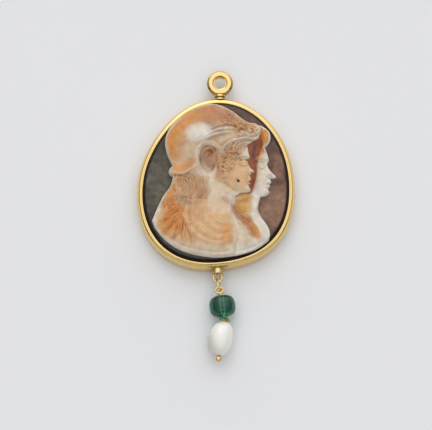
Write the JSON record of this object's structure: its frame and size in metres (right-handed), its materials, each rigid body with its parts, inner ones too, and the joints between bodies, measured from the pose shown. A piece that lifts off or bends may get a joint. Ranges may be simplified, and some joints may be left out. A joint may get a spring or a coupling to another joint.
{
  "type": "cameo pendant",
  "caption": "Oval cameo pendant: layered stone carved with overlapping busts, set in a gold band with a hanging ring, and a drop of bead and pearl on small links.",
  "frame": {"origin": "middle of the pendant's footprint on the surface that it lies on", "axes": "+X to the right of the carved face, +Y from the drop to the hanging ring, +Z out of the carved face"},
  "size_m": [0.0412, 0.0778, 0.0097],
  "materials": {
    "layered_agate": "polished layered agate, dark ground with white, tan and orange relief",
    "gold": "polished yellow gold",
    "green_stone": "polished translucent green",
    "pearl": "soft satin pearl lustre"
  },
  "bodies": {
    "root": {"cameo_stone": "layered_agate", "gold_frame": "gold", "chain_link": "gold", "head_pin": "gold", "green_bead": "green_stone", "bead_cap": "gold", "pearl": "pearl"}
  },
  "joints": []
}
